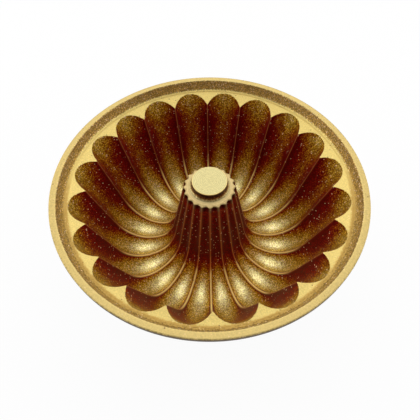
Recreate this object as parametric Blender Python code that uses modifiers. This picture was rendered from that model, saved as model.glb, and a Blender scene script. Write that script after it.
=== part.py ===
"""Fluted tube pan: a ring mould cast in aluminium, with a plug that closes the top of its tube.

Metres, +Z up. The pan stands open side up, and the origin is under its middle, on the plane of
the flats that it rests on.

The casting is a loft between two unlike sections of its wall. Both are closed outlines in a
plane through the axis: one runs through the bottom of a flute, the other through the crest
between two flutes. Half a flute is lofted, mirrored, and repeated round the axis.
"""

import math

import bmesh
import bpy
from mathutils import Vector

# Rim, seen from above: lip, band wall, land, then the flutes. The land is flat beside the band,
# and from its brow on it slopes down between the flutes
RIM_RADIUS = 0.1400
LIP_WIDTH = 0.0059
LIP_THICKNESS = 0.0050
LIP_RISE = 0.0106
EDGE_BREAK = 0.0005
BAND_DRAFT = math.radians(15.0)
BAND_FILLET = 0.0025
LAND_MARGIN = 0.0019
BROW_MARGIN = 0.0008
LAND_SLOPE = math.radians(23.6)

# Flutes
FLUTES = 20
FLUTE_REACH = 0.0116
FLANK_FULLNESS = 0.27
RIB_FULLNESS = 0.12

# Cake cavity, measured along the crests
FLOOR_DEPTH = 0.0955
WALL_DRAFT = math.radians(14.7)
WALL_BEND = 0.0414
TUBE_DRAFT = math.radians(12.2)
TUBE_BEND = 0.0278
BEND_FULLNESS = 0.625

# Tube top
TUBE_TOP_RADIUS = 0.0249
TUBE_TOP_DROP = 0.0023
TUBE_TOP_WALL = 0.0060
HOLLOW_FILLET = 0.0030

# Metal and resting flats
WALL = 0.0030
UNDER_FILLET = 0.0032
FLAT_LENGTH = 0.0120

# Plug
PLUG_RADIUS = 0.0161
PLUG_HEIGHT = 0.0089
PLUG_FOOT_FILLET = 0.0044
PLUG_FOOT_EDGE = 0.0004
SPIGOT_RADIUS = 0.0090
SPIGOT_LEAD = 0.0010
SPIGOT_RECESS = 0.0005
FIT_GAP = 0.0003

# Fineness of the facets
SECTION_STEPS = 2
BEND_STEPS = 4
UNDER_BEND_STEPS = 3
FILLET_STEPS = 3
TURN_STEPS = 48
MERGE = 0.00001
SMOOTH_ANGLE = math.radians(28.0)

HALF_PITCH = math.pi / FLUTES

# Radii that follow from the rim inwards, at the height of the land
LIP_INNER = RIM_RADIUS - LIP_WIDTH
BAND_FOOT_WALL = LIP_INNER - (LIP_RISE - BAND_FILLET) * math.tan(BAND_DRAFT)
LAND_RADIUS = BAND_FOOT_WALL - BAND_FILLET / math.cos(BAND_DRAFT)
TIP_RADIUS = LAND_RADIUS - LAND_MARGIN
BROW_RADIUS = TIP_RADIUS + BROW_MARGIN
CREST_RADIUS = TIP_RADIUS - FLUTE_REACH

# A flute is as deep as this share of the radius of the crests beside it, measured square to them
REACH_RATIO = TIP_RADIUS / CREST_RADIUS
DEPTH_SHARE = (REACH_RATIO - 1.0) / (
    math.cos(WALL_DRAFT) + REACH_RATIO * math.sin(WALL_DRAFT) * math.tan(WALL_DRAFT)
)

# Behind a sharp crest the metal is deeper than the wall, by the slope of the flanks
FLANK_SLOPE = 2.0 * (1.0 + FLANK_FULLNESS) * DEPTH_SHARE / math.sin(HALF_PITCH)
CREST_WALL = WALL * math.hypot(1.0, FLANK_SLOPE)

# Lines of the crests on the wall and on the tube, and where they would meet the floor
WALL_DOWN = Vector((-math.sin(WALL_DRAFT), -math.cos(WALL_DRAFT)))
WALL_OUT = Vector((math.cos(WALL_DRAFT), -math.sin(WALL_DRAFT)))
TUBE_DOWN = Vector((math.sin(TUBE_DRAFT), -math.cos(TUBE_DRAFT)))
TUBE_IN = Vector((-math.cos(TUBE_DRAFT), -math.sin(TUBE_DRAFT)))
WALL_CORNER = Vector((CREST_RADIUS - FLOOR_DEPTH * math.tan(WALL_DRAFT), -FLOOR_DEPTH))
TUBE_HEIGHT = FLOOR_DEPTH - TUBE_TOP_DROP
TUBE_CORNER = Vector((TUBE_TOP_RADIUS + TUBE_HEIGHT * math.tan(TUBE_DRAFT), -FLOOR_DEPTH))
FLOOR = (WALL_CORNER + TUBE_CORNER) / 2.0
WALL_BEND_START = WALL_CORNER - WALL_DOWN * (WALL_BEND / math.cos(WALL_DRAFT))
TUBE_BEND_END = TUBE_CORNER - TUBE_DOWN * (TUBE_BEND / math.cos(TUBE_DRAFT))

# Height of the land above the flats that the pan rests on
LAND_HEIGHT = FLOOR_DEPTH + DEPTH_SHARE * FLOOR.x + WALL


def flute_section(across):
    """Depth of a flute as a share of its greatest, from 0 at its middle to 1 at the crest."""
    return (1.0 - across**2) * (1.0 + FLANK_FULLNESS * across**2)


def under_section(across):
    """The same for the outside, where the flutes are round ribs with sharp grooves between."""
    return (1.0 - across**2) * (1.0 + RIB_FULLNESS * across**2)


def bend_point(start, corner, end, step):
    """Point and direction at a step from 0 to 1 along a cubic curve that rounds a corner."""
    first = start.lerp(corner, BEND_FULLNESS)
    second = end.lerp(corner, BEND_FULLNESS)
    rest = 1.0 - step
    point = (
        start * rest**3
        + first * (3.0 * step * rest**2)
        + second * (3.0 * step**2 * rest)
        + end * step**3
    )
    slope = (
        (first - start) * rest**2 + (second - first) * (2.0 * step * rest) + (end - second) * step**2
    )
    return point, slope.normalized()


def wall_bend(step):
    """The crests' curve from the wall to the floor, with the direction square to it."""
    point, along = bend_point(WALL_BEND_START, WALL_CORNER, FLOOR, step)
    return point, Vector((-along.y, along.x))


def tube_bend(step):
    """The crests' curve from the floor to the tube, with the direction square to it."""
    point, along = bend_point(FLOOR, TUBE_CORNER, TUBE_BEND_END, step)
    return point, Vector((-along.y, along.x))


def step_at_radius(bend, radius):
    """Step at which one of the two bends crosses a radius. The radius falls as the step grows."""
    low = 0.0
    high = 1.0
    for _ in range(40):
        middle = (low + high) / 2.0
        if bend(middle)[0].x > radius:
            low = middle
        else:
            high = middle
    return (low + high) / 2.0


def inner_depth(radius, across):
    """How far the inside of a flute lies behind the crests."""
    return DEPTH_SHARE * radius * flute_section(across)


def outer_depth(radius, across, ribbed=1.0):
    """How far the outside lies behind the crests. Unribbed, it is plain, as inside the tube."""
    deepest = DEPTH_SHARE * radius + WALL
    rib = max(deepest - CREST_WALL, 0.0) * ribbed
    return deepest - rib * (1.0 - under_section(across))


def wall_at_height(height, share, fixed):
    """Point at a height on a line that lies share * radius + fixed behind the wall's crests."""
    start = Vector((CREST_RADIUS, 0.0))
    climb = height + (share * CREST_RADIUS + fixed) * math.sin(WALL_DRAFT)
    run = -climb / (math.cos(WALL_DRAFT) - share * math.sin(WALL_DRAFT) ** 2)
    crest = start + WALL_DOWN * run
    return crest + WALL_OUT * (share * crest.x + fixed)


def land_height(radius, below):
    """Height of the land at a radius, or of the surface that lies below it by so much metal."""
    brow = BROW_RADIUS + below * math.tan(LAND_SLOPE / 2.0)
    return -below - max(brow - radius, 0.0) * math.tan(LAND_SLOPE)


def wall_at_land(below, share, fixed):
    """Point where such a line meets the land, or the surface below it."""
    point = wall_at_height(-below, share, fixed)
    for _ in range(12):
        point = wall_at_height(land_height(point.x, below), share, fixed)
    return point


def tube_at_height(height, share, fixed):
    """Point at a height on a line that lies share * radius + fixed behind the tube's crests."""
    start = Vector((TUBE_TOP_RADIUS, -TUBE_TOP_DROP))
    drop = start.y - height - (share * start.x + fixed) * math.sin(TUBE_DRAFT)
    run = drop / (math.cos(TUBE_DRAFT) + share * math.sin(TUBE_DRAFT) ** 2)
    crest = start + TUBE_DOWN * run
    return crest + TUBE_IN * (share * crest.x + fixed)


def arc(centre, radius, start, end, steps):
    """Points on an arc in a section, from one angle to another, both ends included."""
    points = []
    for i in range(steps + 1):
        angle = start + (end - start) * i / steps
        points.append(centre + Vector((math.cos(angle), math.sin(angle))) * radius)
    return points


def lip_rows():
    """The lip's upper side, from its outer edge inwards, the band wall, and the land's brow."""
    rows = [
        Vector((RIM_RADIUS, LIP_RISE - EDGE_BREAK)),
        Vector((RIM_RADIUS - EDGE_BREAK, LIP_RISE)),
        Vector((LIP_INNER + EDGE_BREAK, LIP_RISE)),
        Vector((LIP_INNER, LIP_RISE - EDGE_BREAK)),
    ]
    centre = Vector((LAND_RADIUS, BAND_FILLET))
    rows += arc(centre, BAND_FILLET, -BAND_DRAFT, -math.pi / 2.0, FILLET_STEPS)
    rows.append(Vector((BROW_RADIUS, 0.0)))
    return rows


def cavity_rows(across):
    """The inside of the flutes: from the land down the wall, over the floor and up the tube."""
    share = DEPTH_SHARE * flute_section(across)
    rows = [wall_at_land(0.0, share, 0.0)]
    for i in range(BEND_STEPS + 1):
        point, away = wall_bend(i / BEND_STEPS)
        rows.append(point + away * inner_depth(point.x, across))
    for i in range(1, BEND_STEPS + 1):
        point, away = tube_bend(i / BEND_STEPS)
        rows.append(point + away * inner_depth(point.x, across))
    rows.append(tube_at_height(-TUBE_TOP_DROP, share, 0.0))
    return rows


def tube_rows():
    """The bore for the plug's spigot, and the ceiling of the tube's hollow with its fillet."""
    bore = SPIGOT_RADIUS + FIT_GAP
    ceiling = -TUBE_TOP_DROP - TUBE_TOP_WALL
    side = tube_at_height(ceiling - HOLLOW_FILLET, DEPTH_SHARE, WALL)
    rows = [Vector((bore, -TUBE_TOP_DROP)), Vector((bore, ceiling))]
    centre = Vector((side.x - HOLLOW_FILLET, ceiling - HOLLOW_FILLET))
    rows += arc(centre, HOLLOW_FILLET, math.pi / 2.0, 0.0, FILLET_STEPS)
    return rows


def underside_rows(across):
    """The outside: down the tube's hollow, under the floor and up the wall to the land.

    Two rows near the lowest point are pulled level with it, which gives each flute its flat.
    """
    rows = []
    on_flat = across <= 1.0 / (2 * SECTION_STEPS)
    flat_in = step_at_radius(tube_bend, FLOOR.x - FLAT_LENGTH / 2.0)
    flat_out = step_at_radius(wall_bend, FLOOR.x + FLAT_LENGTH / 2.0)
    for i in range(UNDER_BEND_STEPS + 1):
        step = 1.0 + (flat_in - 1.0) * i / UNDER_BEND_STEPS
        point, away = tube_bend(step)
        ribbed = i / UNDER_BEND_STEPS
        rows.append(point + away * outer_depth(point.x, across, ribbed))
    for i in range(UNDER_BEND_STEPS + 1):
        point, away = wall_bend(flat_out * (1.0 - i / UNDER_BEND_STEPS))
        rows.append(point + away * outer_depth(point.x, across))
    if on_flat:
        for row in (rows[UNDER_BEND_STEPS], rows[UNDER_BEND_STEPS + 1]):
            row.y = -LAND_HEIGHT
    ribs = under_section(across)
    fixed = WALL * ribs + CREST_WALL * (1.0 - ribs)
    rows.append(wall_at_land(WALL, DEPTH_SHARE * ribs, fixed))
    return rows


def rim_under_rows():
    """The land's underside, the outside of the band wall and the lip's lower side."""
    under_lip = LIP_RISE - LIP_THICKNESS
    tip = wall_at_land(WALL, DEPTH_SHARE, WALL).x
    lean = math.tan(BAND_DRAFT)
    wall_radius = BAND_FOOT_WALL + WALL / math.cos(BAND_DRAFT) - (BAND_FILLET + WALL) * lean
    fillet = min(UNDER_FILLET, (wall_radius - tip) * 0.8)
    centre = Vector((wall_radius + fillet * lean - fillet / math.cos(BAND_DRAFT), fillet - WALL))
    rows = arc(centre, fillet, -math.pi / 2.0, -BAND_DRAFT, FILLET_STEPS)
    rows += [
        Vector((wall_radius + (under_lip + WALL) * lean, under_lip)),
        Vector((RIM_RADIUS - EDGE_BREAK, under_lip)),
        Vector((RIM_RADIUS, under_lip + EDGE_BREAK)),
    ]
    return rows


def section_rows(across):
    """The closed outline of the wall at one place between a flute's middle and its crest.

    Each row is a point and whether the row takes part in the flutes. Plain rows are rings, and
    need only every second column.
    """
    rows = [(point, False) for point in lip_rows()]
    rows += [(point, True) for point in cavity_rows(across)]
    rows += [(point, False) for point in tube_rows()]
    rows += [(point, True) for point in underside_rows(across)]
    rows += [(point, False) for point in rim_under_rows()]
    return rows


def join_rows(mesh, upper, lower, columns):
    """Faces between two rows of vertices, each either on all columns or on every second one."""
    for left in range(0, columns, 2):
        middle = left + 1
        right = left + 2
        if middle in upper and middle in lower:
            faces = [
                (upper[left], upper[middle], lower[middle], lower[left]),
                (upper[middle], upper[right], lower[right], lower[middle]),
            ]
        elif middle in upper:
            faces = [
                (upper[left], upper[middle], lower[left]),
                (upper[middle], upper[right], lower[right]),
                (upper[middle], lower[right], lower[left]),
            ]
        elif middle in lower:
            faces = [
                (upper[left], lower[middle], lower[left]),
                (upper[left], upper[right], lower[middle]),
                (upper[right], lower[right], lower[middle]),
            ]
        else:
            faces = [(upper[left], upper[right], lower[right], lower[left])]
        for face in faces:
            mesh.faces.new(face)


def half_flute_mesh():
    """Half a flute of the casting, lofted from the flute's middle to the crest beside it."""
    columns = 2 * SECTION_STEPS
    sections = [section_rows(column / columns) for column in range(columns + 1)]
    mesh = bmesh.new()
    rows = []
    for index, (_, fluted) in enumerate(sections[0]):
        vertices = {}
        for column in range(0, columns + 1, 1 if fluted else 2):
            angle = HALF_PITCH * column / columns
            point = sections[column][index][0]
            place = (point.x * math.cos(angle), point.x * math.sin(angle), point.y)
            vertices[column] = mesh.verts.new(place)
        rows.append(vertices)
    for upper, lower in zip(rows, rows[1:] + rows[:1]):
        join_rows(mesh, upper, lower, columns)
    data = bpy.data.meshes.new("half_flute")
    mesh.to_mesh(data)
    mesh.free()
    return data


def shade_round(data):
    """Smooth shading, with the edges sharper than the smoothing angle kept crisp."""
    data.shade_smooth()
    data.set_sharp_from_angle(angle=SMOOTH_ANGLE)


def coating(name, colour, roughness):
    """A gold non-stick coating on metal."""
    material = bpy.data.materials.new(name)
    material.use_nodes = True
    shader = material.node_tree.nodes["Principled BSDF"]
    shader.inputs["Base Color"].default_value = (*colour, 1.0)
    shader.inputs["Metallic"].default_value = 0.85
    shader.inputs["Roughness"].default_value = roughness
    material.diffuse_color = (*colour, 1.0)
    return material


def new_collection(name):
    """A collection in the scene."""
    collection = bpy.data.collections.new(name)
    bpy.context.scene.collection.children.link(collection)
    return collection


def make_casting(parts, guides, origin):
    """The cast pan: one half flute, mirrored, repeated round the axis and turned into place."""
    data = half_flute_mesh()
    shade_round(data)
    data.materials.append(coating("gold_stone_coating", (0.62, 0.43, 0.15), 0.38))
    casting = bpy.data.objects.new("pan_casting", data)
    parts.objects.link(casting)
    casting.parent = origin
    casting.location.z = LAND_HEIGHT
    casting.rotation_euler.z = HALF_PITCH

    pitch = bpy.data.objects.new("flute_pitch", None)
    guides.objects.link(pitch)
    pitch.parent = casting
    pitch.rotation_euler.z = 2.0 * HALF_PITCH

    mirror = casting.modifiers.new("other_half", "MIRROR")
    mirror.use_axis = (False, True, False)
    mirror.merge_threshold = MERGE
    repeat = casting.modifiers.new("flutes_round_axis", "ARRAY")
    repeat.count = FLUTES
    repeat.use_relative_offset = False
    repeat.use_object_offset = True
    repeat.offset_object = pitch
    repeat.use_merge_vertices = True
    repeat.use_merge_vertices_cap = True
    repeat.merge_threshold = MERGE
    return casting


def plug_profile():
    """Half the plug's outline from the top of its head to the end of its spigot, seat at 0."""
    top = PLUG_HEIGHT - FIT_GAP
    end = -FIT_GAP - TUBE_TOP_WALL + SPIGOT_RECESS
    foot = PLUG_RADIUS + PLUG_FOOT_FILLET
    points = [
        Vector((0.0, top)),
        Vector((PLUG_RADIUS - EDGE_BREAK, top)),
        Vector((PLUG_RADIUS, top - EDGE_BREAK)),
    ]
    centre = Vector((foot, PLUG_FOOT_EDGE + PLUG_FOOT_FILLET))
    points += arc(centre, PLUG_FOOT_FILLET, math.pi, math.pi * 1.5, FILLET_STEPS)
    points += [
        Vector((foot, 0.0)),
        Vector((SPIGOT_RADIUS, 0.0)),
        Vector((SPIGOT_RADIUS, end + SPIGOT_LEAD)),
        Vector((SPIGOT_RADIUS - SPIGOT_LEAD, end)),
        Vector((0.0, end)),
    ]
    return points


def make_plug(parts, origin):
    """The turned plug, seated on the tube's top face with its spigot in the bore."""
    points = [(point.x, 0.0, point.y) for point in plug_profile()]
    data = bpy.data.meshes.new("tube_plug")
    data.from_pydata(points, [(i, i + 1) for i in range(len(points) - 1)], [])
    data.materials.append(coating("gold_coating_face", (0.72, 0.56, 0.27), 0.34))
    plug = bpy.data.objects.new("tube_plug", data)
    parts.objects.link(plug)
    plug.parent = origin
    plug.location.z = LAND_HEIGHT - TUBE_TOP_DROP + FIT_GAP

    turn = plug.modifiers.new("turned", "SCREW")
    turn.angle = math.tau
    turn.steps = TURN_STEPS
    turn.render_steps = TURN_STEPS
    turn.use_merge_vertices = True
    turn.merge_threshold = MERGE
    turn.use_smooth_shade = True
    return plug


def build():
    """The whole pan, on an empty at its origin."""
    for item in list(bpy.data.objects):
        bpy.data.objects.remove(item)
    parts = new_collection("Fluted tube pan")
    guides = new_collection("Guides")
    origin = bpy.data.objects.new("pan_origin", None)
    guides.objects.link(origin)
    make_casting(parts, guides, origin)
    make_plug(parts, origin)


build()
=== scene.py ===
import math
from types import SimpleNamespace

import bpy
import numpy as np
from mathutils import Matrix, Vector


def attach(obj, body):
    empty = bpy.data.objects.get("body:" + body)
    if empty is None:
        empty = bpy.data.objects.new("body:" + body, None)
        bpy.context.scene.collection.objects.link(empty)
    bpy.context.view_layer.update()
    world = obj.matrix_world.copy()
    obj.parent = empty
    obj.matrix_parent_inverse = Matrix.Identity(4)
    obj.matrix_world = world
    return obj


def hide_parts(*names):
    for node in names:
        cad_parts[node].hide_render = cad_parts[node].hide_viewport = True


# Looks of the fluted tube pan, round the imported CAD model.
#
# Metres, +Z up, origin under the middle of the pan. The casting and the plug are drawn again from
# the same sections as the CAD solids, with fine steps, rounded crests and edges, and flats under
# the ribs. Points in a section through the axis are complex numbers: radius + height * 1j, with
# heights measured from the land. Colour, specks, roughness and relief are procedural.

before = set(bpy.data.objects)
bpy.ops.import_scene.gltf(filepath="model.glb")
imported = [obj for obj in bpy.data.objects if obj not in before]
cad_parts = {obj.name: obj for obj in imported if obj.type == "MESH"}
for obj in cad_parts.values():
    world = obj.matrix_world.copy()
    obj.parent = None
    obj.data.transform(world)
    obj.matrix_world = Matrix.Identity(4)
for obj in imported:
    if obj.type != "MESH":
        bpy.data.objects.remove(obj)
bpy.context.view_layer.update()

# The sizes of part.py
RIM_RADIUS = 0.1400
LIP_WIDTH = 0.0059
LIP_THICKNESS = 0.0050
LIP_RISE = 0.0106
BAND_DRAFT = math.radians(15.0)
BAND_FILLET = 0.0025
LAND_MARGIN = 0.0019
BROW_MARGIN = 0.0008
LAND_SLOPE = math.radians(23.6)
FLUTES = 20
FLUTE_REACH = 0.0116
FLANK_FULLNESS = 0.27
RIB_FULLNESS = 0.12
FLOOR_DEPTH = 0.0955
WALL_DRAFT = math.radians(14.7)
WALL_BEND = 0.0414
TUBE_DRAFT = math.radians(12.2)
TUBE_BEND = 0.0278
BEND_FULLNESS = 0.625
TUBE_TOP_RADIUS = 0.0249
TUBE_TOP_DROP = 0.0023
TUBE_TOP_WALL = 0.0060
HOLLOW_FILLET = 0.0030
WALL = 0.0030
FLAT_LENGTH = 0.0120
PLUG_RADIUS = 0.0161
PLUG_HEIGHT = 0.0089
PLUG_FOOT_FILLET = 0.0044
SPIGOT_RADIUS = 0.0090
SPIGOT_LEAD = 0.0010
SPIGOT_RECESS = 0.0005
FIT_GAP = 0.0003

# Fillet under the band's foot: a limit in part.py brings its 0.0032 down to about this
UNDER_FILLET = 0.0031

# Roundings of crests, grooves and edges, which the CAD solids leave sharp or just break
WALL_CREST_ROUND = 0.00045
FLOOR_CREST_ROUND = 0.0007
TUBE_CREST_ROUND = 0.0007
GROOVE_ROUND = 0.0006
EDGE_ROUND = 0.0005
LIP_ROUND = 0.0011
BROW_ROUND = 0.0006
TOOTH_ROUND = 0.0015
BORE_ROUND = 0.0004
ROOT_ROUND = 0.0015
PLUG_RIM_ROUND = 0.0005

# How far the flutes' flanks fall short of a parabola on the tube, which leaves blunter ridges
TUBE_BLUNTNESS = 0.45

# The underside is let down round the floor and cut off at the table, which leaves flats under the ribs
FLAT_SINK = 0.0004
SINK_WIDTH = 0.018

# Rows beside roundings and edges, which keep the faces beyond them flat to the eye
LIP_GUARD = 1.4 * LIP_ROUND
BAND_GUARD = 1.5 * LIP_ROUND
EDGE_GUARD = 1.7 * EDGE_ROUND
BORE_GUARD = 1.8 * BORE_ROUND
HOLLOW_GUARD = 0.0006
FACE_GUARD = 0.0004
BORE_BORDER = 0.0020
PLUG_RIM_BORDER = 0.0012
PLUG_RIM_GUARD = 0.0011
PLUG_CENTRE_RADII = (0.002, 0.008)

# The plug's foot runs out this far past its fillet, to an edge just above the tube's face
PLUG_FEATHER = 0.0010
PLUG_FOOT_LEVEL = -0.9 * FIT_GAP
PLUG_EDGE_STEP = 0.00005
PLUG_EDGE_RISE = 0.00001

# Fineness
COLUMNS = 13
COLUMN_CROWDING = 2.1
BEND_STEPS = 24
STRAIGHT_STEPS = 10
ARC_STEPS = 8
CORNER_STEPS = 4
PLUG_SEGMENTS = 144
SEARCH_ROUNDS = 12

# Where rows lie between others: shares of the way, and radii from the land's brow
EDGE_SHARE = 0.012
ROOT_SHARE = 0.04
LAND_SHARES = (0.5, 0.85, 0.97)
UNDER_LAND_SHARES = (0.08, 0.2, 0.35, 0.5, 0.65, 0.8, 0.92)
BROW_REACHES = (0.0008, 0.0005, 0.0002, 0.0, -0.0002)

# A short way along a line, to find its direction
PROBE = 0.001

# Camera, from the fit to the photograph
CAMERA_PLACE = (-0.003382, -0.199666, 0.371741)
CAMERA_TURN = (32.86989, 0.09018, -1.20956)
CAMERA_LENS = 31.1143
SENSOR = 36.0

# Lamps: name, place, size and radiance
LAMPS = (
    ("overhead", (0.0, 0.42, 1.2), (1.6, 1.6), 1.30),
    ("left", (-1.3, 0.25, 0.42), (1.8, 0.7), 2.25),
    ("right", (1.3, 0.25, 0.42), (1.8, 0.7), 1.9),
)
LAMP_AIM = (0.0, 0.0, 0.05)

# The studio: its level from low down to high up, the lighter part at the back, and the floor
SKY_LEVEL = (0.0, 0.5, 0.50, 0.36)
BACK_DEPTHS = (0.35, 0.80)
BACK_HEIGHTS = (0.15, 0.50)
BACK_LEVEL = 0.75
SKY_SEEN = 0.95
FLOOR_SEEN = 0.94
FLOOR_REACH = 6.0
FLOOR_GREY = (0.85, 0.85, 0.85, 1.0)
WHITE = (1.0, 1.0, 1.0, 1.0)

# Derived sizes
HALF_PITCH = math.pi / FLUTES
LIP_INNER = RIM_RADIUS - LIP_WIDTH
UNDER_LIP = LIP_RISE - LIP_THICKNESS
BAND_FOOT_WALL = LIP_INNER - (LIP_RISE - BAND_FILLET) * math.tan(BAND_DRAFT)
LAND_RADIUS = BAND_FOOT_WALL - BAND_FILLET / math.cos(BAND_DRAFT)
TIP_RADIUS = LAND_RADIUS - LAND_MARGIN
BROW_RADIUS = TIP_RADIUS + BROW_MARGIN
CREST_RADIUS = TIP_RADIUS - FLUTE_REACH
REACH_RATIO = TIP_RADIUS / CREST_RADIUS
BAND_OUTER_FOOT = (
    BAND_FOOT_WALL + WALL / math.cos(BAND_DRAFT) - (BAND_FILLET + WALL) * math.tan(BAND_DRAFT)
)
UNDER_LAND_END = (
    BAND_OUTER_FOOT + UNDER_FILLET * math.tan(BAND_DRAFT) - UNDER_FILLET / math.cos(BAND_DRAFT)
)
DEPTH_SHARE = (REACH_RATIO - 1.0) / (
    math.cos(WALL_DRAFT) + REACH_RATIO * math.sin(WALL_DRAFT) * math.tan(WALL_DRAFT)
)
FLANK_SLOPE = 2.0 * (1.0 + FLANK_FULLNESS) * DEPTH_SHARE / math.sin(HALF_PITCH)
CREST_WALL = WALL * math.hypot(1.0, FLANK_SLOPE)
WALL_OUT = complex(math.cos(WALL_DRAFT), -math.sin(WALL_DRAFT))
TUBE_IN = complex(-math.cos(TUBE_DRAFT), -math.sin(TUBE_DRAFT))
DOWN_LAND = complex(math.cos(LAND_SLOPE), math.sin(LAND_SLOPE))
UP_BAND = complex(math.sin(BAND_DRAFT), math.cos(BAND_DRAFT))


def wall_crest(height):
    """Point on the crests' line down the wall."""
    return CREST_RADIUS + height * math.tan(WALL_DRAFT) + 1j * height


def tube_crest(height):
    """Point on the crests' line up the tube."""
    return TUBE_TOP_RADIUS - (height + TUBE_TOP_DROP) * math.tan(TUBE_DRAFT) + 1j * height


WALL_CORNER = wall_crest(-FLOOR_DEPTH)
TUBE_CORNER = tube_crest(-FLOOR_DEPTH)
FLOOR = (WALL_CORNER + TUBE_CORNER) / 2.0
WALL_BEND_START = wall_crest(WALL_BEND - FLOOR_DEPTH)
TUBE_BEND_END = tube_crest(TUBE_BEND - FLOOR_DEPTH)
LAND_HEIGHT = FLOOR_DEPTH + DEPTH_SHARE * FLOOR.real + WALL

# Columns from crest to crest of one flute, close together near the crests
HALF_FLUTE = 1.0 - np.linspace(0.0, 1.0, COLUMNS + 1) ** COLUMN_CROWDING
SIDEWAYS = np.concatenate((-HALF_FLUTE, HALF_FLUTE[-2:0:-1]))
ACROSS = np.abs(SIDEWAYS)
FLUTE_SECTION = (1.0 - ACROSS**2) * (1.0 + FLANK_FULLNESS * ACROSS**2)
TUBE_SECTION = (1.0 - ACROSS**2) * (1.0 - TUBE_BLUNTNESS * ACROSS**2)
RIB_SECTION = (1.0 - ACROSS**2) * (1.0 + RIB_FULLNESS * ACROSS**2)


# The sections


def ease(value, low, high):
    """Smooth step from 0 at low to 1 at high."""
    share = np.clip((value - low) / (high - low), 0.0, 1.0)
    return share * share * (3.0 - 2.0 * share)


def bend_point(start, corner, end, step):
    """Point and direction along the cubic curve that rounds a corner of the section."""
    first = start + (corner - start) * BEND_FULLNESS
    second = end + (corner - end) * BEND_FULLNESS
    rest = 1.0 - step
    point = start * rest**3 + 3.0 * first * step * rest**2
    point += 3.0 * second * step**2 * rest + end * step**3
    slope = (first - start) * rest**2 + 2.0 * (second - first) * step * rest
    slope += (end - second) * step**2
    return point, slope / abs(slope)


def wall_bend(step):
    """Point and direction along the bend from the wall to the floor."""
    return bend_point(WALL_BEND_START, WALL_CORNER, FLOOR, step)


def tube_bend(step):
    """Point and direction along the bend from the floor to the tube."""
    return bend_point(FLOOR, TUBE_CORNER, TUBE_BEND_END, step)


def inner_depth(radius):
    """How far the inside of a flute lies behind the crests, which are blunter inwards."""
    blunt = ease(radius, WALL_BEND_START.real, FLOOR.real)
    crest = WALL_CREST_ROUND + (FLOOR_CREST_ROUND - WALL_CREST_ROUND) * blunt
    blunt = ease(radius, FLOOR.real, TUBE_TOP_RADIUS)
    crest += (TUBE_CREST_ROUND - FLOOR_CREST_ROUND) * blunt
    section = FLUTE_SECTION + (TUBE_SECTION - FLUTE_SECTION) * blunt
    return np.sqrt((DEPTH_SHARE * radius * section) ** 2 + crest**2)


def outer_depth(radius, ribbed=1.0):
    """The same for the outside, with the grooves rounded."""
    deepest = DEPTH_SHARE * radius + WALL
    rib = np.maximum(deepest - CREST_WALL, 0.0) * ribbed
    groove = GROOVE_ROUND * ribbed
    return deepest - rib + np.sqrt((rib * RIB_SECTION) ** 2 + groove**2)


def ring(radius, height):
    """A row that is the same all round."""
    return np.full(ACROSS.shape, complex(radius, height))


def corner(point, before, after, size):
    """Rows that round a corner, from a step before it to a step after it."""
    rows = []
    for i in range(CORNER_STEPS + 1):
        step = i / CORNER_STEPS
        rows.append(point + before * size * (1.0 - step) ** 2 + after * size * step**2)
    return rows


def arc(centre, radius, start, end):
    """Points on an arc of the section."""
    return centre + radius * np.exp(1j * np.linspace(start, end, ARC_STEPS + 1))


def arc_rows(centre, radius, start, end):
    """Rows on an arc of the section."""
    return [ring(point.real, point.imag) for point in arc(centre, radius, start, end)]


def land_height(radius, below=0.0):
    """Height of the land at a radius, its brow rounded, or of the surface so far below it."""
    inwards = BROW_RADIUS + below * math.tan(LAND_SLOPE / 2.0) - radius
    return -below - math.tan(LAND_SLOPE) * (inwards + np.hypot(inwards, BROW_ROUND)) / 2.0


def under_level(radius):
    """Height of the land's underside."""
    return land_height(radius, WALL)


def face_level(radius):
    """Height of the tube's top face, the same at every radius."""
    return np.full(np.shape(radius), -TUBE_TOP_DROP)


def foot(line, out, depth, level):
    """Height on the crests' line whose point behind it is level with the land or the top face."""
    height = np.zeros(ACROSS.shape)
    for _ in range(SEARCH_ROUNDS):
        crest = line(height)
        point = crest + out * depth(crest.real)
        height = height + level(point.real) - point.imag
    return height


def direction(start, end):
    """Direction from one row to another."""
    return (end - start) / np.abs(end - start)


def inner_wall(height):
    """Row on the inside of the wall, at heights on the crests' line."""
    line = wall_crest(height)
    return line + WALL_OUT * inner_depth(line.real)


def outer_wall(height):
    """Row on the outside of the wall, at heights on the crests' line."""
    line = wall_crest(height)
    return line + WALL_OUT * outer_depth(line.real)


def inner_tube(height):
    """Row on the tube's fluted side, at heights on the crests' line."""
    line = tube_crest(height)
    return line + TUBE_IN * inner_depth(line.real)


def lip_rows():
    """The lip's upper side, from outside in, the band wall, and the land to past its brow."""
    rows = corner(ring(RIM_RADIUS, LIP_RISE), -1j, -1.0, LIP_ROUND)
    rows += [ring(RIM_RADIUS - LIP_GUARD, LIP_RISE), ring(LIP_INNER + LIP_GUARD, LIP_RISE)]
    rows += corner(ring(LIP_INNER, LIP_RISE), 1.0, -UP_BAND, LIP_ROUND)
    rows += [ring(LIP_INNER, LIP_RISE) - UP_BAND * BAND_GUARD]
    rows += arc_rows(complex(LAND_RADIUS, BAND_FILLET), BAND_FILLET, -BAND_DRAFT, -math.pi / 2.0)
    for reach in BROW_REACHES:
        rows.append(ring(BROW_RADIUS + reach, land_height(BROW_RADIUS + reach)))
    return rows


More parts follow.
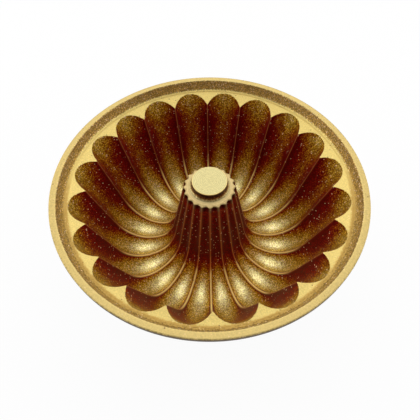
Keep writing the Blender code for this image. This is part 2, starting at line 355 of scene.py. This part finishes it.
def cavity_rows():
    """The inside of the flutes: over the land's edge, down, over the floor and up the tube."""
    top = foot(wall_crest, WALL_OUT, inner_depth, land_height)
    edge = inner_wall(top)
    rows = corner(edge, DOWN_LAND, direction(edge, inner_wall(top - PROBE)), EDGE_ROUND)
    for i in range(STRAIGHT_STEPS):
        share = EDGE_SHARE + (1.0 - EDGE_SHARE) * i / STRAIGHT_STEPS
        rows.append(inner_wall(top + (WALL_BEND_START.imag - top) * share))
    for i in range(BEND_STEPS + 1):
        point, along = wall_bend(i / BEND_STEPS)
        rows.append(point + 1j * along * inner_depth(point.real))
    for i in range(1, BEND_STEPS + 1):
        point, along = tube_bend(i / BEND_STEPS)
        rows.append(point + 1j * along * inner_depth(point.real))
    top = foot(tube_crest, TUBE_IN, inner_depth, face_level)
    for i in range(1, STRAIGHT_STEPS + 1):
        share = (1.0 - EDGE_SHARE) * i / STRAIGHT_STEPS
        rows.append(inner_tube(TUBE_BEND_END.imag + (top - TUBE_BEND_END.imag) * share))
    edge = inner_tube(top).real - 1j * TUBE_TOP_DROP
    rows += corner(edge, direction(edge, inner_tube(top - PROBE)), -1.0, TOOTH_ROUND)
    return rows


def tube_face_rows():
    """The tube's top face, from under the plug's foot to its bore."""
    foot_radius = PLUG_RADIUS + PLUG_FOOT_FILLET
    bore = SPIGOT_RADIUS + FIT_GAP
    radii = (foot_radius + FACE_GUARD, bore + BORE_BORDER, bore)
    return [ring(radius, -TUBE_TOP_DROP) for radius in radii]


def tube_ceiling_rows():
    """The bore's lower end and the ceiling of the tube's hollow with its fillet, and its height."""
    bore = SPIGOT_RADIUS + FIT_GAP
    ceiling = -TUBE_TOP_DROP - TUBE_TOP_WALL
    height = ceiling - HOLLOW_FILLET
    crest = tube_crest(height)
    for _ in range(SEARCH_ROUNDS):
        depth = DEPTH_SHARE * crest.real + WALL
        crest = tube_crest(height - TUBE_IN.imag * depth)
    middle = (crest + TUBE_IN * depth).real - HOLLOW_FILLET
    rows = corner(ring(bore, ceiling), 1j, 1.0, BORE_ROUND)
    rows += [ring(bore + BORE_GUARD, ceiling), ring(middle - HOLLOW_GUARD, ceiling)]
    rows += arc_rows(complex(middle, height), HOLLOW_FILLET, math.pi / 2.0, 0.0)
    return rows, crest.imag


def underside_rows(hollow_top):
    """The outside: down the tube's hollow, under the floor and up the wall to the land."""
    rows = []
    for i in range(1, STRAIGHT_STEPS):
        line = tube_crest(hollow_top + (TUBE_BEND_END.imag - hollow_top) * i / STRAIGHT_STEPS)
        rows.append(line + TUBE_IN * outer_depth(line.real, 0.0))
    for i in range(BEND_STEPS, 0, -1):
        point, along = tube_bend(i / BEND_STEPS)
        ribbed = ease(point.real, TUBE_BEND_END.real, FLOOR.real - FLAT_LENGTH / 2.0)
        rows.append(point + 1j * along * outer_depth(point.real, ribbed))
    for i in range(BEND_STEPS, -1, -1):
        point, along = wall_bend(i / BEND_STEPS)
        rows.append(point + 1j * along * outer_depth(point.real))
    for i, row in enumerate(rows):
        sink = FLAT_SINK * np.exp(-(((row.real - FLOOR.real) / SINK_WIDTH) ** 2))
        rows[i] = row.real + 1j * np.maximum(row.imag - sink, -LAND_HEIGHT)
    top = foot(wall_crest, WALL_OUT, outer_depth, under_level)
    start = WALL_BEND_START.imag
    for i in range(1, STRAIGHT_STEPS + 1):
        share = (1.0 - ROOT_SHARE) * i / STRAIGHT_STEPS
        rows.append(outer_wall(start + (top - start) * share))
    root = outer_wall(top)
    brow = BROW_RADIUS + WALL * math.tan(LAND_SLOPE / 2.0)
    along_land = np.where(root.real < brow, DOWN_LAND, 1.0)
    rows += corner(root, direction(root, outer_wall(top - PROBE)), along_land, ROOT_ROUND)
    inner = rows[-1].real
    for share in UNDER_LAND_SHARES:
        radius = inner + (UNDER_LAND_END - inner) * share
        rows.append(radius + 1j * under_level(radius))
    return rows


def rim_under_rows():
    """The land's fillet underneath, the outside of the band wall and the lip's lower side."""
    middle = complex(UNDER_LAND_END, UNDER_FILLET - WALL)
    root_radius = BAND_OUTER_FOOT + (UNDER_LIP + WALL) * math.tan(BAND_DRAFT)
    rows = arc_rows(middle, UNDER_FILLET, -math.pi / 2.0, -BAND_DRAFT)
    rows += corner(ring(root_radius, UNDER_LIP), -UP_BAND, 1.0, EDGE_ROUND)
    rows += [ring(RIM_RADIUS - EDGE_GUARD, UNDER_LIP)]
    rows += corner(ring(RIM_RADIUS, UNDER_LIP), -1.0, 1j, EDGE_ROUND)
    rows += [ring(RIM_RADIUS, UNDER_LIP + EDGE_GUARD), ring(RIM_RADIUS, LIP_RISE - LIP_GUARD)]
    return rows


# The meshes


def turned(section, angles, lift):
    """The places of a section's points at the angles, lifted to the heights of the pan."""
    radius = section.real * np.ones(angles.shape)
    height = section.imag + np.full(angles.shape, lift)
    return np.stack((radius * np.cos(angles), radius * np.sin(angles), height), axis=-1)


def grid_mesh(name, places, closed, marks):
    """A mesh of quads over a grid of points that runs round the axis. marks are per point."""
    index = np.arange(places[..., 0].size).reshape(places.shape[:2])
    after = np.roll(index, -1, axis=0)
    last = len(index) if closed else len(index) - 1
    corners = (index, np.roll(index, -1, axis=1), np.roll(after, -1, axis=1), after)
    faces = np.stack(corners, axis=-1)[:last].reshape(-1, 4).tolist()
    if not closed:
        faces += [index[0, ::-1].tolist(), index[-1].tolist()]
    data = bpy.data.meshes.new(name)
    data.from_pydata(places.reshape(-1, 3).tolist(), [], faces)
    for key, values in marks.items():
        attribute = data.attributes.new(key, "FLOAT", "POINT")
        attribute.data.foreach_set("value", values.astype(np.float32).ravel())
    data.shade_smooth()
    data.validate()
    piece = bpy.data.objects.new(name, data)
    bpy.context.scene.collection.objects.link(piece)
    return piece


# The marks that steer the coating: lines by the crests, among them painted highlights and a painted
# shadow, with their widths in metres
CREST_LINE = 0.0004
TUBE_CREST_EXTRA = 0.0007
TUBE_CREST_START = TUBE_BEND_END.real + 0.004
# Painted glint: a bright line along the crests low in the pan, in place of a highlight
PAINTED_GLINT_LINE = 0.00075
PAINTED_GLINT_STRENGTH = 2.0
# Painted shadow: a darker line beside each crest inside the flutes
PAINTED_SHADOW_LINE = 0.0007
PAINTED_SHADOW_GAP = 0.0013
CENTRE_POWER = 1.2
FLOOR_CREST_LOSS = 0.3

# Radii between which the crests carry a painted glint, and heights where the tube's ridges turn pale
PAINTED_GLINT_INNER = (0.044, 0.050)
PAINTED_GLINT_OUTER = (0.090, 0.100)
PALE_FINGERS = (-0.0080, -0.0030)

# Rows that keep the look of the land at a flute's edge, and of the outside at the lip
FLAT_EDGE_ROWS = 3
LIP_OUTSIDE_ROWS = 2

# The painted highlight line round the plug's rim, and the pale foot
RIM_LINE = 0.0005
RIM_LINE_DROP = 0.001
RIM_PAINTED_GLINT = 0.6
FOOT_MARGIN = 0.0010


def line_mark(gap, width):
    """1 on a line, and falling off over the width at both sides."""
    return np.exp(-((gap / width) ** 2))


def casting_marks(section, cavity_start, face_start, face_end, underside_start):
    """The marks of the casting, for each row and column of one flute."""
    gap = HALF_PITCH * (1.0 - ACROSS)[None, :] * section.real
    inside = np.zeros(section.shape)
    inside[cavity_start + FLAT_EDGE_ROWS : face_start - CORNER_STEPS - 1] = 1.0
    up_tube = ease(-section.real, -TUBE_CREST_START, -TUBE_TOP_RADIUS)
    # The crest mark: painted highlight lines along the crests, wider on the tube, which also make the
    # crests smoother
    crest = line_mark(gap, CREST_LINE + TUBE_CREST_EXTRA * up_tube) * inside
    floor = ease(section.real, *PAINTED_GLINT_INNER) * (1.0 - ease(section.real, *PAINTED_GLINT_OUTER))
    # Painted glint along the crests between the glint radii
    glint = np.minimum(PAINTED_GLINT_STRENGTH * line_mark(gap, PAINTED_GLINT_LINE), 1.0) * inside * floor
    crest *= 1.0 - FLOOR_CREST_LOSS * floor
    pale = crest * up_tube * ease(section.imag, *PALE_FINGERS)
    pale[face_start - CORNER_STEPS : face_end] = 1.0
    # The centre mark paints a flute's middle lighter and a line beside each crest darker: painted
    # light and shade
    centre = (1.0 - ACROSS**CENTRE_POWER)[None, :] * inside
    centre[section.real < TUBE_BEND_END.real] = 0.0
    centre -= line_mark(gap - PAINTED_SHADOW_GAP, PAINTED_SHADOW_LINE) * inside
    centre *= ease(section.real, TUBE_BEND_END.real, FLOOR.real)
    outside = np.zeros(section.shape)
    outside[:LIP_OUTSIDE_ROWS] = 1.0
    outside[underside_start:] = 1.0
    marks = {"inside": inside, "crest": crest, "glint": glint, "centre": centre, "pale": pale}
    marks["outside"] = outside
    return marks


def make_casting():
    """The cast pan: the rows repeated flute by flute round the axis."""
    lip, cavity, face = lip_rows(), cavity_rows(), tube_face_rows()
    land = [lip[-1] + (cavity[0] - lip[-1]) * share for share in LAND_SHARES]
    ceiling, hollow_top = tube_ceiling_rows()
    rows = lip + land + cavity + face + ceiling + underside_rows(hollow_top) + rim_under_rows()
    section = np.array(rows)
    cavity_start = len(lip) + len(land)
    face_start = cavity_start + len(cavity)
    face_end = face_start + len(face)
    marks = casting_marks(section, cavity_start, face_start, face_end, face_end + len(ceiling))
    marks = {key: np.tile(values, (1, FLUTES)) for key, values in marks.items()}
    turns = HALF_PITCH * (1.0 + 2.0 * np.arange(FLUTES))
    angles = (turns[:, None] + HALF_PITCH * SIDEWAYS).reshape(1, -1)
    places = turned(np.tile(section, (1, FLUTES)), angles, LAND_HEIGHT)
    return grid_mesh("pan_casting_skin", places, True, marks)


def plug_points():
    """The plug's section, from the middle of its top over its rim and foot to its spigot's end."""
    top = PLUG_HEIGHT - FIT_GAP
    end = -FIT_GAP - TUBE_TOP_WALL + SPIGOT_RECESS
    foot_radius = PLUG_RADIUS + PLUG_FOOT_FILLET
    rim = complex(PLUG_RADIUS, top)
    edge = complex(foot_radius + PLUG_FEATHER, PLUG_FOOT_LEVEL)
    points = [complex(radius, top) for radius in (*PLUG_CENTRE_RADII, PLUG_RADIUS - PLUG_RIM_BORDER)]
    points += corner(rim, -1.0, -1j, PLUG_RIM_ROUND)
    points += [rim - 1j * PLUG_RIM_GUARD]
    centre = complex(foot_radius, PLUG_FOOT_FILLET)
    points += list(arc(centre, PLUG_FOOT_FILLET, math.pi, math.pi * 1.5))
    points += [edge - PLUG_EDGE_STEP + 1j * PLUG_EDGE_RISE, edge, edge - PLUG_EDGE_STEP]
    points += [complex(SPIGOT_RADIUS, PLUG_FOOT_LEVEL), complex(SPIGOT_RADIUS, end + SPIGOT_LEAD)]
    points += [complex(SPIGOT_RADIUS - SPIGOT_LEAD, end), complex(PLUG_CENTRE_RADII[0], end)]
    return np.array(points)


def make_plug():
    """The turned plug, seated on the tube's top face."""
    section = plug_points()[:, None]
    top = section.imag.max()
    angles = np.linspace(0.0, math.tau, PLUG_SEGMENTS, endpoint=False)[None, :]
    places = turned(section, angles, LAND_HEIGHT - TUBE_TOP_DROP + FIT_GAP)
    # Painted highlight: a bright line round the rim of the plug's face
    rim = line_mark(section.real - PLUG_RADIUS, RIM_LINE) * (section.imag > top - RIM_LINE_DROP)
    foot_end = PLUG_RADIUS + PLUG_FOOT_FILLET - FOOT_MARGIN
    pale = ease(section.real, PLUG_RADIUS + FOOT_MARGIN, foot_end) * (section.imag < top / 2.0)
    around = np.ones(angles.shape)
    marks = {"glint": RIM_PAINTED_GLINT * rim * around, "pale": pale * around}
    return grid_mesh("tube_plug_skin", places, False, marks)


# Shader nodes: a value is a number, a colour or another node's output


def add(tree, kind, inputs=None, **settings):
    """A node with its settings, and its inputs set or linked."""
    node = tree.nodes.new(kind)
    for name, value in settings.items():
        setattr(node, name, value)
    for key, value in (inputs or {}).items():
        socket = node.inputs[key]
        if isinstance(value, bpy.types.NodeSocket):
            tree.links.new(value, socket)
        else:
            socket.default_value = value
    return node


def math_node(tree, operation, *values):
    """The result of a Math node."""
    return add(tree, "ShaderNodeMath", dict(enumerate(values)), operation=operation).outputs[0]


def times(tree, first, *others):
    """Values multiplied."""
    for other in others:
        first = math_node(tree, "MULTIPLY", first, other)
    return first


def plus(tree, first, second, share=1.0):
    """A value and a share of another."""
    return math_node(tree, "MULTIPLY_ADD", second, share, first)


def opposite(tree, value):
    """1 where a value is 0, and 0 where it is 1."""
    return math_node(tree, "SUBTRACT", 1.0, value)


def ramp(tree, value, low, high, to_low=0.0, to_high=1.0):
    """A value eased from one range to another."""
    inputs = {"Value": value, "From Min": low, "From Max": high, "To Min": to_low, "To Max": to_high}
    node = add(tree, "ShaderNodeMapRange", inputs, interpolation_type="SMOOTHSTEP")
    return node.outputs["Result"]


def mix(tree, share, first, second, blend="MIX"):
    """Two colours mixed."""
    inputs = {0: share, 6: first, 7: second}
    return add(tree, "ShaderNodeMix", inputs, data_type="RGBA", blend_type=blend).outputs[2]


def shades(tree, value, stops):
    """A colour that runs through the stops, each a place and a colour."""
    node = add(tree, "ShaderNodeValToRGB", {"Fac": value})
    places = node.color_ramp.elements
    while len(places) < len(stops):
        places.new(1.0)
    for place, (at, colour) in zip(places, stops):
        place.position = at
        place.color = (*colour, 1.0)
    return node.outputs["Color"]


def noise(tree, place, scale, detail, roughness):
    """Smooth noise between 0 and 1."""
    inputs = {"Vector": place, "Scale": scale, "Detail": detail, "Roughness": roughness}
    return add(tree, "ShaderNodeTexNoise", inputs).outputs["Fac"]


def specks(tree, place, scale, reach, share):
    """Round specks: 1 inside them, for a share of the cells, each with its own size."""
    cells = add(tree, "ShaderNodeTexVoronoi", {"Vector": place, "Scale": scale})
    split = add(tree, "ShaderNodeSeparateColor", {"Color": cells.outputs["Color"]})
    chosen = math_node(tree, "LESS_THAN", split.outputs["Red"], share)
    smallest = reach * SMALLEST_SPECK
    size = math_node(tree, "MULTIPLY_ADD", split.outputs["Green"], reach - smallest, smallest)
    core = times(tree, size, SPECK_CORE)
    return times(tree, ramp(tree, cells.outputs["Distance"], size, core), chosen)


# The coating, with painted light and shade: maroon as painted shade on steep walls, gold as painted
# light where it faces up, painted copper highlights on the crests

# Colours from painted shade at a low gold level to painted light at a high one
STONE_INNER_PAINTED_SHADE_TO_LIGHT = (
    (0.15, (0.13, 0.000, 0.001)),
    (0.33, (0.21, 0.003, 0.002)),
    (0.45, (0.33, 0.100, 0.003)),
    (0.56, (0.49, 0.285, 0.018)),
    (0.71, (0.68, 0.480, 0.105)),
    (0.85, (0.82, 0.650, 0.240)),
    (1.00, (0.88, 0.720, 0.330)),
)
STONE_OUTER_PAINTED_SHADE_TO_LIGHT = (
    (0.06, (0.08, 0.042, 0.011)),
    (0.30, (0.44, 0.275, 0.062)),
    (0.48, (0.45, 0.280, 0.070)),
    (0.64, (0.53, 0.370, 0.112)),
    (0.78, (0.65, 0.500, 0.165)),
)
# The plug: near black as painted shade on its steep side and fillet, up to the colour of its face
PLUG_FACE_AND_PAINTED_SHADE = (
    (0.20, (0.04, 0.004, 0.002)),
    (0.55, (0.20, 0.080, 0.018)),
    (0.80, (0.40, 0.290, 0.110)),
    (0.90, (0.51, 0.442, 0.208)),
)
# Painted highlight lines on the crests, dark brown where they are steep and copper where they face up
# more
CREST_PAINTED_HIGHLIGHT = (
    (0.15, (0.24, 0.070, 0.018)),
    (0.26, (0.68, 0.255, 0.076)),
)
LIP_TINT = (0.90, 0.88, 0.98, 1.0)
PAINTED_GLINT = (1.0, 0.74, 0.25, 1.0)
PALE = (0.50, 0.370, 0.165, 1.0)
SHELL = (0.105, 0.066, 0.028, 1.0)
DARK_SPECK = (0.10, 0.045, 0.02, 1.0)
LIGHT_SPECK = (1.0, 0.71, 0.40, 1.0)
GLITTER = (1.0, 0.86, 0.62, 1.0)

# Noise, in cells per metre, and specks with their reach and their share of the cells
GRAIN_SCALE = 800.0
CLOUD_SCALE = 130.0
TURNING_SCALE = 190.0
LIGHT_SPECKS = (400.0, 0.34, 0.40)
GLITTER_SPECKS = (620.0, 0.50, 0.60)
DARK_SPECKS = (260.0, 0.24, 0.30)
SMALLEST_SPECK = 0.4
SPECK_CORE = 0.55

# What makes the coating more golden, besides facing up: painted light down a flute's middle and up the
# walls' tops, and random grain and cloud. Here and below, the two numbers of a ramp are the range that
# it eases over, and two more are what it gives at that range's ends
CENTRE_PAINTED_LIGHT = 0.25
# Painted light on the upper parts of the walls
WALL_TOP_PAINTED_LIGHT = (0.070, 0.105, 0.0, 0.24)
GRAIN_GOLD = 0.60
CLOUD_GOLD = 0.30
GOLD_GAIN = 0.8
GOLD_START = -0.36

# The painted shade on the land beside the band
BAND_SHADE_MOTTLE_RADII = (0.1225, 0.1290)
BAND_SHADE_MOTTLE = (0.36, 0.62, -0.05, -0.60)
BAND_SHADE_RADII = (0.1264, 0.1288, 0.0, -0.45)
BAND_SHADE_SIDE = (0.06, -0.05)
BAND_SHADE_SLOPE = (0.35, 0.90, 0.20, 1.0)
BAND_SHADE_TOP = (0.112, 0.108)

# Grain in the colour, fine or coarse, and where it is which
FINE_SHADE = (0.27, 0.73, 0.84, 1.10)
COARSE_SHADE = (0.38, 0.78, 0.58, 2.50)
STEEP_SLOPES = (0.95, 0.55)
FLOOR_GOLD = (0.45, 0.75)
COARSE_GRAIN = 0.6
FLOOR_GRAIN = -0.1
LIP_HEIGHTS = (0.108, 0.114)

# How strong the specks, the pale parts and the rings that turning leaves are
BAND_GLITTER = 0.45
LIGHT_GAIN = 1.2
LIGHT_START = 0.28
LIGHT_STRENGTH = 0.95
DARK_STRENGTH = 0.7
PALE_STRENGTH = 0.9
RINGS_DARKER = 0.10
RINGS_LIGHTER = 0.08

# Gloss and relief
METAL = (0.2, 0.75, 0.35, 0.85)
STONE_ROUGHNESS = 0.46
PLUG_ROUGHNESS = 0.40
ROUGH_GRAIN = (0.3, 0.7)
SMOOTHER_GRAIN = 0.06
ROUGHER_GRAIN = 0.08
CREST_SMOOTHNESS = 0.10
SPECK_RELIEF = 0.6
RELIEF_STRENGTH = 0.6
RELIEF_HEIGHT = 0.0002
SPECULAR_LEVEL = 0.15

MARKS = ("inside", "centre", "crest", "glint", "pale", "outside")


def read_surface(tree):
    """What steers the coating: place, slope, grain, cloud and the mesh's marks."""
    place = add(tree, "ShaderNodeTexCoord").outputs["Object"]
    parts = add(tree, "ShaderNodeSeparateXYZ", {"Vector": place}).outputs
    normal = add(tree, "ShaderNodeNewGeometry").outputs["Normal"]
    level = add(tree, "ShaderNodeVectorMath", {0: place, 1: (1.0, 1.0, 0.0)}, operation="MULTIPLY")
    radius = add(tree, "ShaderNodeVectorMath", {0: level.outputs[0]}, operation="LENGTH")
    surface = SimpleNamespace(place=place, depth=parts["Y"], height=parts["Z"])
    surface.radius = radius.outputs["Value"]
    surface.up = add(tree, "ShaderNodeSeparateXYZ", {"Vector": normal}).outputs["Z"]
    surface.grain = noise(tree, place, GRAIN_SCALE, 1.5, 0.5)
    surface.cloud = noise(tree, place, CLOUD_SCALE, 3.0, 0.6)
    for mark in MARKS:
        node = add(tree, "ShaderNodeAttribute", attribute_name=mark)
        setattr(surface, mark, node.outputs["Fac"])
    return surface


def band_painted_shade(tree, surface):
    """Painted shade on the land beside the band, mottled at random, strongest on the near side of the
    land.
    """
    mottle = ramp(tree, surface.grain, *BAND_SHADE_MOTTLE)
    mottle = times(tree, ramp(tree, surface.radius, *BAND_SHADE_MOTTLE_RADII), mottle)
    band_shade = plus(tree, mottle, ramp(tree, surface.radius, *BAND_SHADE_RADII))
    side = ramp(tree, surface.depth, *BAND_SHADE_SIDE)
    level = ramp(tree, surface.up, *BAND_SHADE_SLOPE)
    low = ramp(tree, surface.height, *BAND_SHADE_TOP)
    return times(tree, band_shade, side, level, low, opposite(tree, surface.inside))


def gold_and_painted_light_level(tree, surface):
    """How golden the coating is, from maroon at 0 to pale gold at 1: painted light where it faces up,
    down a flute's middle and up the walls' tops, painted shade beside the band and the crests, and
    random grain and cloud.
    """
    # Facing up paints the surface lighter, as if lit from above
    gold_and_painted_light = plus(tree, surface.up, surface.centre, CENTRE_PAINTED_LIGHT)
    gold_and_painted_light = plus(tree, gold_and_painted_light, ramp(tree, surface.height, *WALL_TOP_PAINTED_LIGHT))
    gold_and_painted_light = plus(tree, gold_and_painted_light, band_painted_shade(tree, surface))
    gold_and_painted_light = plus(tree, gold_and_painted_light, surface.grain, GRAIN_GOLD)
    gold_and_painted_light = plus(tree, gold_and_painted_light, surface.cloud, CLOUD_GOLD)
    return math_node(tree, "MULTIPLY_ADD", gold_and_painted_light, GOLD_GAIN, GOLD_START)


def coat_specks(tree, surface, steep, floor, coarse, speckled):
    """The light specks, the glitter on the floor and the band, and the dark specks."""
    coated = opposite(tree, surface.outside)
    band = times(tree, steep, opposite(tree, surface.inside), BAND_GLITTER)
    kinds = []
    for scale, reach, share in (LIGHT_SPECKS, GLITTER_SPECKS, DARK_SPECKS):
        kinds.append(specks(tree, surface.place, scale, reach, share * speckled))
    light, glitter, dark = kinds
    strength = math_node(tree, "MULTIPLY_ADD", coarse, LIGHT_GAIN, LIGHT_START)
    light = times(tree, light, strength, coated)
    glitter = times(tree, glitter, math_node(tree, "MAXIMUM", band, floor), coated)
    return light, glitter, dark


def grain_places(tree, surface, gold_and_painted_light):
    """Where the coat is steep, where it is a flute's gold floor, and how coarse its grain is."""
    steep = ramp(tree, surface.up, *STEEP_SLOPES)
    floor = times(tree, ramp(tree, gold_and_painted_light, *FLOOR_GOLD), surface.inside)
    coarse = times(tree, math_node(tree, "MAXIMUM", steep, surface.inside), COARSE_GRAIN)
    return steep, floor, plus(tree, coarse, floor, FLOOR_GRAIN)


def grained_colour(tree, surface, gold_and_painted_light, coarse, inner, outer):
    """The shades inside the flutes and elsewhere, painted from maroon shade to gold light, with fine
    or coarse grain.
    """
    plain = ramp(tree, surface.grain, *FINE_SHADE)
    strong = ramp(tree, surface.grain, *COARSE_SHADE)
    shade = plus(tree, plain, math_node(tree, "SUBTRACT", strong, plain), coarse)
    colour = mix(tree, surface.inside, shades(tree, gold_and_painted_light, outer), shades(tree, gold_and_painted_light, inner))
    return mix(tree, 1.0, colour, shade, "MULTIPLY")


def tint_lip(tree, surface, colour, strength):
    """The colour, cooler on the lip."""
    lip = math_node(tree, "SUBTRACT", ramp(tree, surface.height, *LIP_HEIGHTS), surface.inside)
    lip = times(tree, math_node(tree, "MAXIMUM", lip, 0.0), strength)
    return mix(tree, lip, colour, LIP_TINT, "MULTIPLY")


def mark_crests(tree, surface, colour):
    """The colour, with painted highlights on the crests: copper lines, brighter painted glints low in
    the pan, and pale ends.
    """
    colour = mix(tree, surface.crest, colour, shades(tree, surface.up, CREST_PAINTED_HIGHLIGHT))
    colour = mix(tree, surface.glint, colour, PAINTED_GLINT)
    return mix(tree, times(tree, surface.pale, PALE_STRENGTH), colour, PALE)


def turning_rings(tree, surface, colour, strength):
    """The colour, with the faint rings that turning leaves."""
    inputs = {"Vector": surface.place, "Scale": TURNING_SCALE}
    rings = add(tree, "ShaderNodeTexWave", inputs, wave_type="RINGS", rings_direction="Z")
    darkest, lightest = 1.0 - RINGS_DARKER * strength, 1.0 + RINGS_LIGHTER * strength
    shine = ramp(tree, rings.outputs["Fac"], 0.0, 1.0, darkest, lightest)
    return mix(tree, 1.0, colour, shine, "MULTIPLY")


def dark_outside(tree, surface, colour):
    """The colour, dark bronze outside the pan."""
    plain = ramp(tree, surface.grain, *FINE_SHADE)
    return mix(tree, surface.outside, colour, mix(tree, 1.0, SHELL, plain, "MULTIPLY"))


def coat_gloss(tree, surface, gold_and_painted_light, light, roughness):
    """How metallic and how rough the coat is, and its relief as a normal."""
    metal = ramp(tree, gold_and_painted_light, *METAL)
    # No metal on the painted glint, so its bright colour shows much as it is
    metal = times(tree, metal, opposite(tree, light), opposite(tree, surface.glint))
    smoothest, roughest = roughness - SMOOTHER_GRAIN, roughness + ROUGHER_GRAIN
    rough = ramp(tree, surface.grain, *ROUGH_GRAIN, smoothest, roughest)
    rough = plus(tree, rough, surface.crest, -CREST_SMOOTHNESS)
    relief = plus(tree, surface.grain, light, SPECK_RELIEF)
    inputs = {"Height": relief, "Strength": RELIEF_STRENGTH, "Distance": RELIEF_HEIGHT}
    bump = add(tree, "ShaderNodeBump", inputs)
    return metal, rough, bump.outputs["Normal"]


def coating(name, inner, outer, roughness, speckled=0.0, turning=0.0):
    """A coating with painted light and shade inside the flutes and elsewhere, speckled or with turning
    rings.
    """
    material = bpy.data.materials.new(name)
    material.use_nodes = True
    tree = material.node_tree
    surface = read_surface(tree)
    gold_and_painted_light = gold_and_painted_light_level(tree, surface)
    steep, floor, coarse = grain_places(tree, surface, gold_and_painted_light)
    light, glitter, dark = coat_specks(tree, surface, steep, floor, coarse, speckled)
    colour = grained_colour(tree, surface, gold_and_painted_light, coarse, inner, outer)
    colour = tint_lip(tree, surface, colour, speckled)
    colour = mark_crests(tree, surface, colour)
    colour = turning_rings(tree, surface, colour, turning)
    colour = dark_outside(tree, surface, colour)
    colour = mix(tree, times(tree, dark, DARK_STRENGTH), colour, DARK_SPECK)
    colour = mix(tree, times(tree, light, LIGHT_STRENGTH), colour, LIGHT_SPECK)
    colour = mix(tree, glitter, colour, GLITTER)
    metal, rough, normal = coat_gloss(tree, surface, gold_and_painted_light, light, roughness)
    shader = tree.nodes["Principled BSDF"]
    tree.links.new(colour, shader.inputs["Base Color"])
    tree.links.new(metal, shader.inputs["Metallic"])
    tree.links.new(rough, shader.inputs["Roughness"])
    tree.links.new(normal, shader.inputs["Normal"])
    shader.inputs["Specular IOR Level"].default_value = SPECULAR_LEVEL
    return material


def stone_coating():
    """The pan's speckled stone-effect coating, with painted light and shade."""
    return coating("stone_coating", STONE_INNER_PAINTED_SHADE_TO_LIGHT, STONE_OUTER_PAINTED_SHADE_TO_LIGHT, STONE_ROUGHNESS, speckled=1.0)


def plug_coating():
    """The coating of the turned plug, its steep side and fillet painted near black as shade."""
    return coating("plug_coating", PLUG_FACE_AND_PAINTED_SHADE, PLUG_FACE_AND_PAINTED_SHADE, PLUG_ROUGHNESS, turning=1.0)


# The studio


def make_floor():
    """A plain pale floor, white to the eye and in reflections, that keeps the pan's shadow."""
    size = FLOOR_REACH
    data = bpy.data.meshes.new("floor")
    corners = [(-size, -size, 0.0), (size, -size, 0.0), (size, size, 0.0), (-size, size, 0.0)]
    data.from_pydata(corners, [], [(0, 1, 2, 3)])
    floor = bpy.data.objects.new("floor", data)
    bpy.context.scene.collection.objects.link(floor)
    material = bpy.data.materials.new("floor_white")
    material.use_nodes = True
    tree = material.node_tree
    tree.nodes.clear()
    path = add(tree, "ShaderNodeLightPath").outputs
    seen = math_node(tree, "ADD", path["Is Camera Ray"], path["Is Glossy Ray"])
    seen = math_node(tree, "ADD", seen, path["Is Transmission Ray"])
    seen = times(tree, math_node(tree, "MINIMUM", seen, 1.0), FLOOR_SEEN)
    matt = add(tree, "ShaderNodeBsdfDiffuse", {"Color": FLOOR_GREY})
    white = add(tree, "ShaderNodeEmission", {"Color": WHITE, "Strength": 1.0})
    both = add(tree, "ShaderNodeMixShader", {0: seen, 1: matt.outputs[0], 2: white.outputs[0]})
    add(tree, "ShaderNodeOutputMaterial", {"Surface": both.outputs[0]})
    floor.data.materials.append(material)


def make_world():
    """A dim studio, a little lighter low down and high at the back, nearly white to the eye."""
    world = bpy.data.worlds.new("studio")
    world.use_nodes = True
    tree = world.node_tree
    tree.nodes.clear()
    way = add(tree, "ShaderNodeTexCoord").outputs["Generated"]
    parts = add(tree, "ShaderNodeSeparateXYZ", {"Vector": way}).outputs
    level = ramp(tree, parts["Z"], *SKY_LEVEL)
    back = times(tree, ramp(tree, parts["Y"], *BACK_DEPTHS), ramp(tree, parts["Z"], *BACK_HEIGHTS))
    level = plus(tree, level, back, BACK_LEVEL)
    seen = add(tree, "ShaderNodeLightPath").outputs["Is Camera Ray"]
    level = math_node(tree, "MAXIMUM", level, times(tree, seen, SKY_SEEN))
    sky = add(tree, "ShaderNodeBackground", {"Color": WHITE, "Strength": level})
    add(tree, "ShaderNodeOutputWorld", {"Surface": sky.outputs[0]})
    bpy.context.scene.world = world


def make_lamp(name, place, size, radiance):
    """A soft lamp, aimed at the pan and unseen by the camera."""
    data = bpy.data.lights.new(name, "AREA")
    data.shape = "RECTANGLE"
    data.size, data.size_y = size
    data.energy = radiance * math.pi * size[0] * size[1]
    lamp = bpy.data.objects.new(name, data)
    bpy.context.scene.collection.objects.link(lamp)
    lamp.location = place
    lamp.rotation_euler = (Vector(LAMP_AIM) - lamp.location).to_track_quat("-Z", "Y").to_euler()
    lamp.visible_camera = False


def make_camera():
    """The camera of the photograph."""
    data = bpy.data.cameras.new("camera")
    data.lens = CAMERA_LENS
    data.sensor_width = SENSOR
    camera = bpy.data.objects.new("camera", data)
    bpy.context.scene.collection.objects.link(camera)
    camera.location = CAMERA_PLACE
    camera.rotation_euler = [math.radians(angle) for angle in CAMERA_TURN]
    bpy.context.scene.camera = camera


casting = make_casting()
casting.data.materials.append(stone_coating())
plug = make_plug()
plug.data.materials.append(plug_coating())
for piece, node, slot in (
    (casting, "pan_casting", "stone_coating"),
    (plug, "tube_plug", "plug_coating"),
):
    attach(piece, "root")
    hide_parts(node)

make_floor()
make_world()
for lamp in LAMPS:
    make_lamp(*lamp)
make_camera()
bpy.context.scene.view_settings.view_transform = "Standard"
